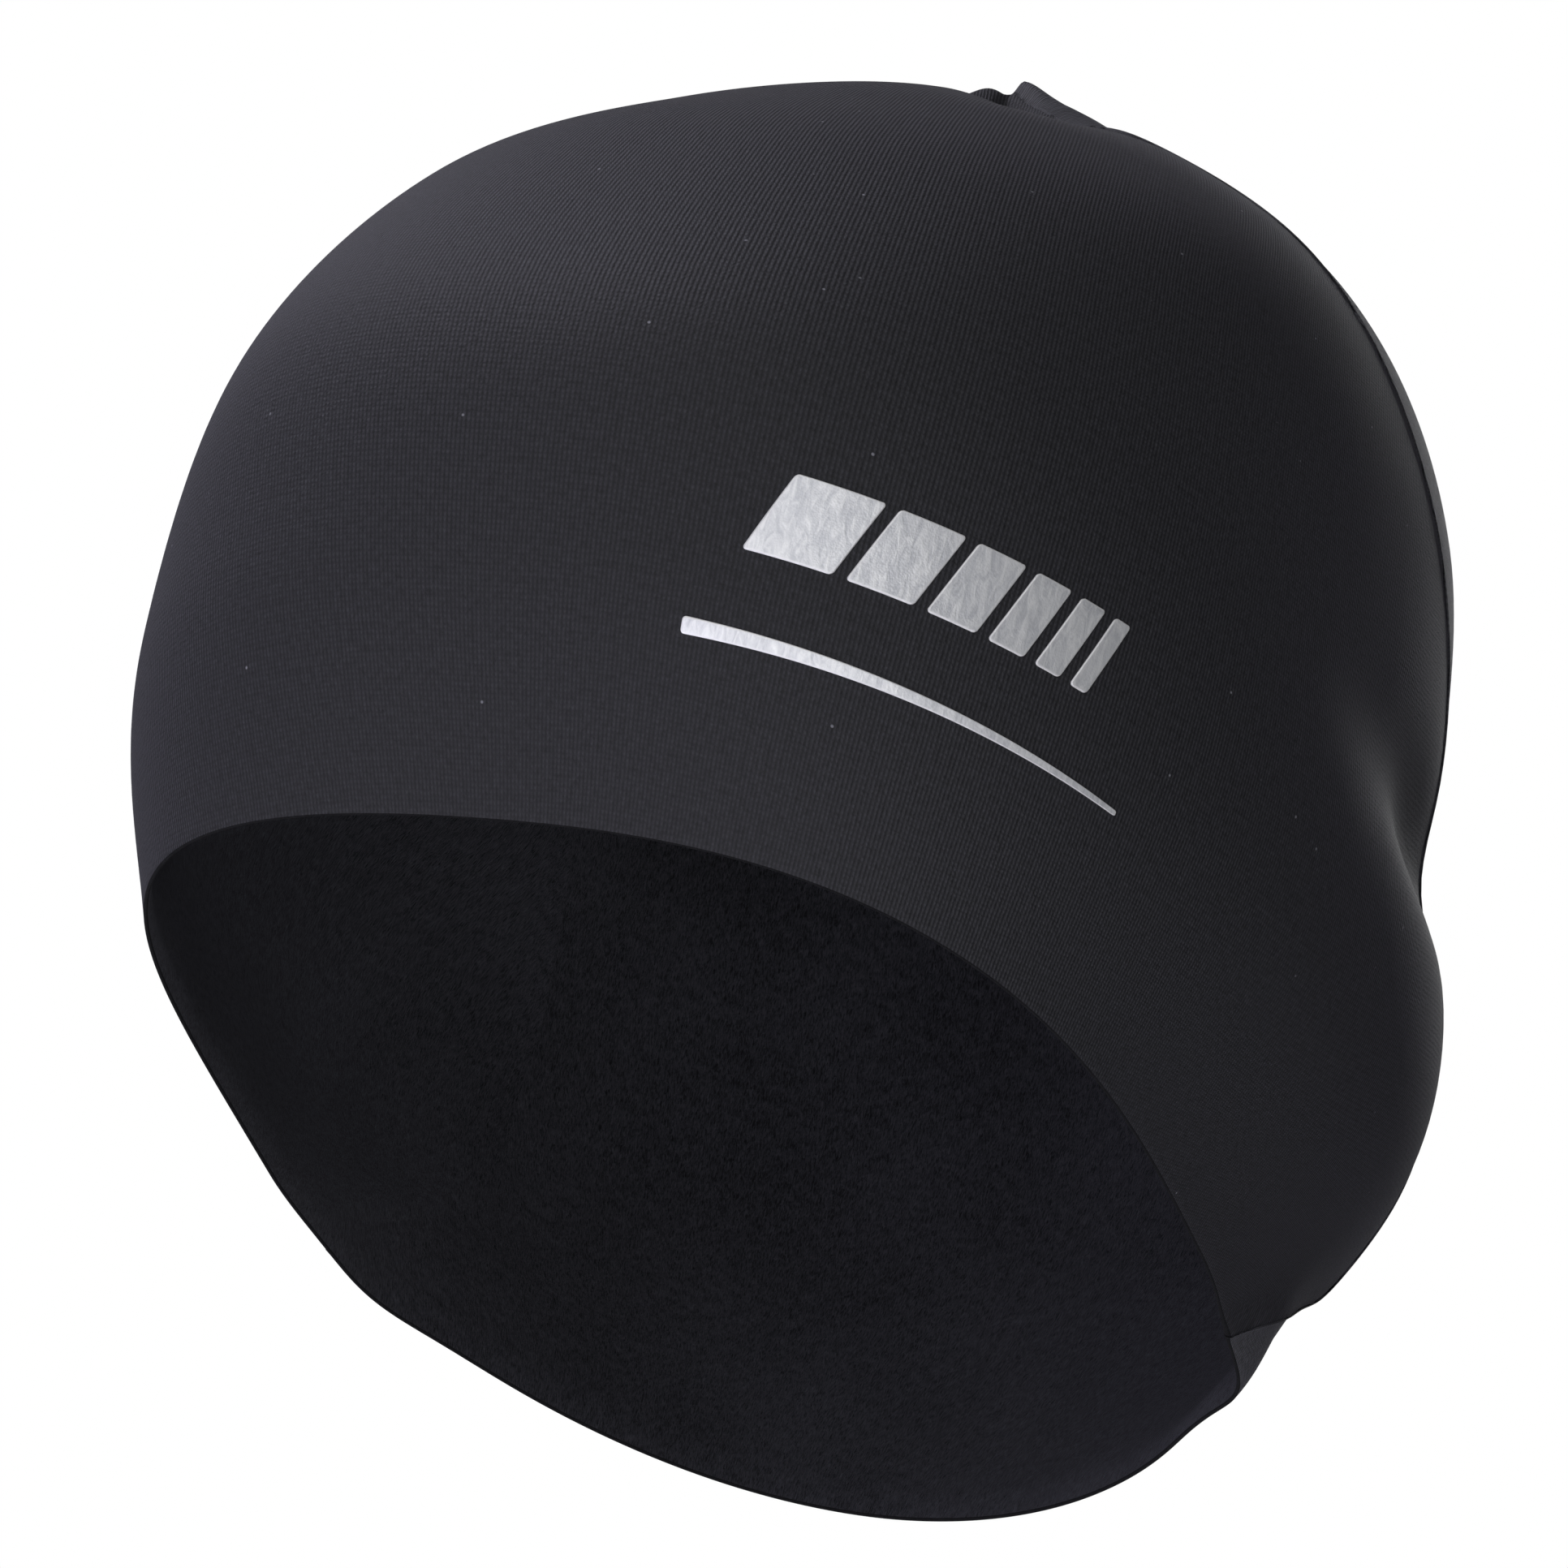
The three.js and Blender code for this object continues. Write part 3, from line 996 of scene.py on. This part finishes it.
@dataclass
class TransferPiece:
    """One piece of reflective film that is pressed onto the knit. Lengths are in millimetres."""

    name: str
    node: str
    shape: Block | Line
    course: float  # the course of the shape's middle
    form: CapForm
    angle: float = 33.5  # its middle's degrees from the front
    thickness: float = 0.22
    bed: float = 0.25  # how deep its underside lies in the knit
    shoulder: float = 0.2  # width of the rounded edge
    corner: float = 0.6
    corner_share: float = 0.25  # the most of its height that a corner's radius takes up
    end_steps: tuple[float, ...] = (0, 0.05, 0.12, 0.2, 0.32, 0.45, 0.6)
    span: float = 0.9  # longest step between two columns or rows
    probe_course: float = 0.1  # step down that the length of a course is read over
    piece: Object | None = field(default=None, init=False)

    def shares(self, length: float) -> Array:
        """Shares of a length from 0 to 1, which stand closer at both ends.

        Args:
            length: The length in millimetres.

        Returns:
            The shares.
        """
        ends = np.array(self.end_steps)
        ends = ends[ends < length / 2] / length
        spans = math.ceil(length * (1 - 2 * ends[-1]) / self.span)
        inner = np.linspace(ends[-1], 1 - ends[-1], max(2, spans + 1))
        return np.concatenate([ends[:-1], inner, 1 - ends[:-1][::-1]])

    def on_cap(self, along: Array, above: Array, out: Array) -> Array:
        """Lays places on the cap's outside.

        Args:
            along: Millimetres from the shape's middle to the wearer's left.
            above: Millimetres above it.
            out: How far out from the knit each place is.

        Returns:
            Points in millimetres.
        """
        round_cap = self.form.outside(np.array([self.angle, self.angle + 1]), np.full(2, self.course))
        per_degree = np.linalg.norm(round_cap[1] - round_cap[0])
        down = np.array([self.course, self.course + self.probe_course])
        down_cap = self.form.outside(np.full(2, self.angle), down)
        per_course = np.linalg.norm(down_cap[1] - down_cap[0]) / self.probe_course
        angle, course = self.angle + along / per_degree, self.course - above / per_course
        points = self.form.outside(angle, course)
        return points + self.form.normals(self.form.outside, angle, course) * out[..., None]

    def build(self) -> None:
        """Makes the piece's closed mesh: a film with a rounded edge over a flat underside."""
        u, v = np.meshgrid(self.shares(self.shape.width), self.shares(self.shape.height))
        from_rim = np.minimum(v, 1 - v) * self.shape.height
        radius = min(self.corner, self.shape.height * self.corner_share)
        cut = radius - np.sqrt(np.maximum(radius**2 - np.clip(radius - from_rim, 0, radius) ** 2, 0))
        share = cut / self.shape.width
        u = share + u * (1 - 2 * share)
        from_end = (np.minimum(u, 1 - u) - share) * self.shape.width
        edge = np.minimum(from_rim, from_end)
        rise = np.clip(edge / self.shoulder, 0, 1)
        out = self.thickness * np.sqrt(1 - (1 - rise) ** 2)
        along, above = self.shape.place(u, v)
        top = self.on_cap(along, above, out)
        under = self.on_cap(along, above, np.full_like(out, -self.bed))
        points = np.stack([top, under]).reshape(-1, 3)
        place = np.stack([along, above], -1).reshape(-1, 2) * MM
        self.piece = mesh_piece(self.name, points, self.faces(*u.shape), np.vstack([place, place]))
        distance = (np.concatenate([edge.ravel(), np.zeros(edge.size)]) * MM).astype(np.float32)
        mesh = self.piece.data
        mesh.attributes.new(EDGE_NAME, "FLOAT", "POINT").data.foreach_set("value", distance)
        mesh.polygons.foreach_set("use_smooth", [True] * len(mesh.polygons))

    def faces(self, rows: int, columns: int) -> list[tuple[int, ...]]:
        """Joins the top's points, the underside's and the two along their rims.

        Args:
            rows: Rows of points of the top.
            columns: Columns of points of the top.

        Returns:
            Faces as tuples of point numbers, where the underside's points follow the top's.
        """
        number = np.arange(2 * rows * columns).reshape(2, rows, columns)
        faces = []
        for layer in number[0], number[1][:, ::-1]:
            quads = np.stack([layer[:-1, :-1], layer[:-1, 1:], layer[1:, 1:], layer[1:, :-1]], -1)
            faces += [tuple(quad) for quad in quads.reshape(-1, 4).tolist()]
        upper, lower = (
            np.concatenate([layer[0, :-1], layer[:-1, -1], layer[-1, :0:-1], layer[:0:-1, 0]]).tolist()
            for layer in number
        )
        for i in range(len(upper)):
            j = (i + 1) % len(upper)
            faces.append((upper[j], upper[i], lower[i], lower[j]))
        return faces

    def dress(self, film: Material) -> None:
        """Gives the piece the film."""
        self.piece.data.materials.append(film)

    def declare(self) -> None:
        """Tells the frame what the piece rides on and what it stands for."""
        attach(self.piece, BODY)
        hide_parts(self.node)


@dataclass
class ReflectivePrint:
    """The silver print on the wearer's left front: a bar of slanted blocks over one thin line."""

    form: CapForm
    widths: tuple[float, ...] = (11.5, 9.0, 7.0, 5.4, 4.0, 2.8)
    gap: float = 1.7
    bar_course: float = 4.78
    line_course: float = 5.27

    def build(self, film: Material) -> list[TransferPiece]:
        """Args:
            film: The reflective film.

        Returns:
            The pieces.
        """
        pieces = []
        start = -(sum(self.widths) + self.gap * (len(self.widths) - 1)) / 2
        for i, width in enumerate(self.widths, 1):
            node, block = f"reflective_block_{i}", Block(start, width)
            pieces.append(TransferPiece(node + "_film", node, block, self.bar_course, self.form))
            start += width + self.gap
        node = "reflective_line"
        pieces.append(TransferPiece(node + "_film", node, Line(), self.line_course, self.form))
        for piece in pieces:
            piece.build()
            piece.dress(film)
            piece.declare()
        return pieces


# Setting


COOL_WHITE = "efecff"


@dataclass(frozen=True)
class SoftLight:
    """A square soft box that looks at the cap."""

    name: str
    way: tuple[float, float, float]  # how far it hangs to the picture's right, up and towards the camera
    distance: float
    size: float
    power: float
    colour: str = "ffffff"

    def build(self, target: Vector, axes: tuple[Vector, Vector, Vector]) -> None:
        """Hangs the light round the target and turns it there.

        Args:
            target: The middle of the cap.
            axes: The picture's right, its up and the way back to the camera.
        """
        way = sum((axis * part for axis, part in zip(axes, self.way)), Vector()).normalized()
        data = bpy.data.lights.new(self.name, "AREA")
        data.shape = "SQUARE"
        data.size = self.size
        data.energy = self.power
        data.color = linear(self.colour)[:3]
        light = bpy.data.objects.new(self.name, data)
        light.location = target + way * self.distance
        light.rotation_euler = (-way).to_track_quat("-Z", "Y").to_euler()
        light.visible_camera = False
        bpy.context.scene.collection.objects.link(light)


@dataclass
class Studio:
    """Plain pale floor far below the cap, white surroundings, soft lights and the photograph's viewpoint."""

    target: tuple[float, float, float] = (0.0, 0.0, -0.0786)
    azimuth: float = 29.08
    elevation: float = -20.21
    roll: float = 14.36
    distance: float = 1.35
    lens: float = 233.4
    sensor: float = 36.0
    aim_right: float = -0.0115  # where the camera points, from the target
    aim_up: float = -0.0179
    paper_glow: float = 0.5  # how bright the lit paper behind the cap is as a light
    paper_reach: tuple[float, float] = (38.0, 12.0)  # degrees off the view where its glow ends and is full
    floor_drop: float = 1.8
    floor_size: float = 12.0
    floor_grain: float = 40.0  # how many soft patches lie across the floor
    floor_tone: tuple[float, float] = (0.84, 0.86)  # darkest and lightest patch
    lights: tuple[SoftLight, ...] = (
        SoftLight("camera_softbox", (0.0, 0.0, 1.0), 2.4, 2.3, 24.0),
        SoftLight("upper_softbox", (0.0, 0.85, 0.5), 1.7, 0.9, 8.0),
        SoftLight("upper_left_softbox", (-0.5, 0.78, -0.36), 1.7, 0.9, 17.5, COOL_WHITE),
        SoftLight("left_back_softbox", (-0.7, 0.65, -0.3), 1.7, 0.9, 2.0, COOL_WHITE),
        SoftLight("left_softbox", (-0.66, -0.2, 0.7), 1.7, 0.9, 6.5, COOL_WHITE),
        SoftLight("lower_left_softbox", (-0.6, -0.75, 0.3), 1.7, 0.9, 11.0, COOL_WHITE),
        SoftLight("lower_softbox", (0.0, -0.8, 0.6), 1.7, 0.9, 4.5),
        SoftLight("right_rim_softbox", (0.33, 0.08, -0.94), 1.7, 0.5, 5.0),
    )

    def axes(self) -> tuple[Vector, Vector, Vector]:
        """Works out the picture's directions.

        Returns:
            Its right, its up and the way back to the camera.
        """
        turn, lift, roll = (math.radians(a) for a in (self.azimuth, self.elevation, self.roll))
        back = Vector((math.sin(turn) * math.cos(lift), -math.cos(turn) * math.cos(lift), math.sin(lift)))
        level = Vector((math.cos(turn), math.sin(turn), 0))
        upright = back.cross(level)
        right = level * math.cos(roll) + upright * math.sin(roll)
        up = upright * math.cos(roll) - level * math.sin(roll)
        return right, up, back

    def build_camera(self) -> None:
        """Sets the camera where the photograph was taken from, with no shift and no depth of field."""
        right, up, back = self.axes()
        target = Vector(self.target)
        place = target + back * self.distance
        aim = target + right * self.aim_right + up * self.aim_up
        behind = (place - aim).normalized()
        across = up.cross(behind).normalized()
        data = bpy.data.cameras.new("camera")
        data.sensor_width = self.sensor
        data.lens = self.lens
        camera = bpy.data.objects.new("camera", data)
        turn = Matrix((across, behind.cross(across), behind)).transposed()
        camera.matrix_world = Matrix.Translation(place) @ turn.to_4x4()
        bpy.context.scene.collection.objects.link(camera)
        bpy.context.scene.camera = camera

    def build_floor(self) -> None:
        """Lays a plain pale floor well below the cap, which its wearer holds up."""
        bpy.ops.mesh.primitive_plane_add(size=self.floor_size, location=(0, 0, -self.floor_drop))
        floor = bpy.context.object
        floor.name = "floor"
        material, tree = new_material("matt_white_paint")
        dark, light = self.floor_tone
        grain = add_node(tree, "TexNoise", {"Scale": self.floor_grain})
        tone = add_node(tree, "MapRange", {0: grain, 3: dark, 4: light})
        colour = add_node(tree, "CombineColor", {0: tone, 1: tone, 2: tone})
        finish_material(tree, {"Base Color": colour, "Roughness": 0.9})
        floor.data.materials.append(material)

    def build_surroundings(self) -> None:
        """Hangs white paper behind the cap, which is seen evenly white and lights the edges from behind."""
        world = bpy.data.worlds.new("white_paper_surroundings")
        world.use_nodes = True
        world.node_tree.nodes.clear()
        add = partial(add_node, world.node_tree)
        ends, full = (math.cos(math.radians(a)) for a in self.paper_reach)
        way = add("TexCoord").outputs["Generated"]
        behind = add("VectorMath", {0: way, 1: -self.axes()[-1]}, operation="DOT_PRODUCT").outputs["Value"]
        glows = {0: behind, 1: ends, 2: full, 3: 0.0, 4: self.paper_glow}
        strength = add("MapRange", glows, interpolation_type="SMOOTHSTEP")
        glow = add("Background", {"Strength": strength})
        paper = add("Background", {"Color": linear("ffffff"), "Strength": 1.0})
        seen = add("LightPath").outputs["Is Camera Ray"]
        mixed = add("MixShader", {0: seen, 1: glow, 2: paper})
        add("OutputWorld", {"Surface": mixed})
        bpy.context.scene.world = world
        bpy.context.scene.view_settings.view_transform = "Standard"

    def build(self) -> None:
        """Builds the camera, the floor and the light."""
        bpy.ops.object.select_all(action="DESELECT")
        self.build_camera()
        self.build_floor()
        self.build_surroundings()
        for light in self.lights:
            light.build(Vector(self.target), self.axes())


def main() -> None:
    """Builds the studio and the cap's pieces in order."""
    logging.basicConfig(level=logging.INFO, format="%(message)s")
    Studio().build()
    form = CapForm()
    face, back = ThermalKnit().build(), BrushedBack().build()
    # The back panel looks lighter than the front one where it shows, at the crown's rolled edge and the
    # hem's corner; its knit is the same black jersey painted paler, as painted sheen and light
    sheen_painted_face = ThermalKnit(name="black_thermal_jersey_face_painted_sheen", colour="505056", groove="38383c").build()
    # Painted shade: the hem's rim gets a darker copy of the brushed jersey without sheen, so that it shows
    # as a dark line
    cut = BrushedBack(name="black_thermal_jersey_cut_edge_painted_shade", colour="1c1c1f", parting_shade="0a0a0c", sheen=0.0)
    cut_edge = cut.build()
    panels = (
        KnitPanel("front_panel_knit", "front_panel", 0, (0.40, 0.20), 0.049, form, grain=24.0),
        KnitPanel("back_panel_knit", "back_panel", 180, (0.23, 0.20), 0.0335, form),
    )
    for panel, outside in zip(panels, (face, sheen_painted_face)):
        panel.build()
        panel.dress(outside, back, cut_edge)
        panel.declare()
    pieces = [*panels, *ReflectivePrint(form).build(ReflectiveFilm().build())]
    for made in pieces:
        log.info("%s: %d faces", made.name, len(made.piece.data.polygons))


if __name__ == "__main__":
    main()
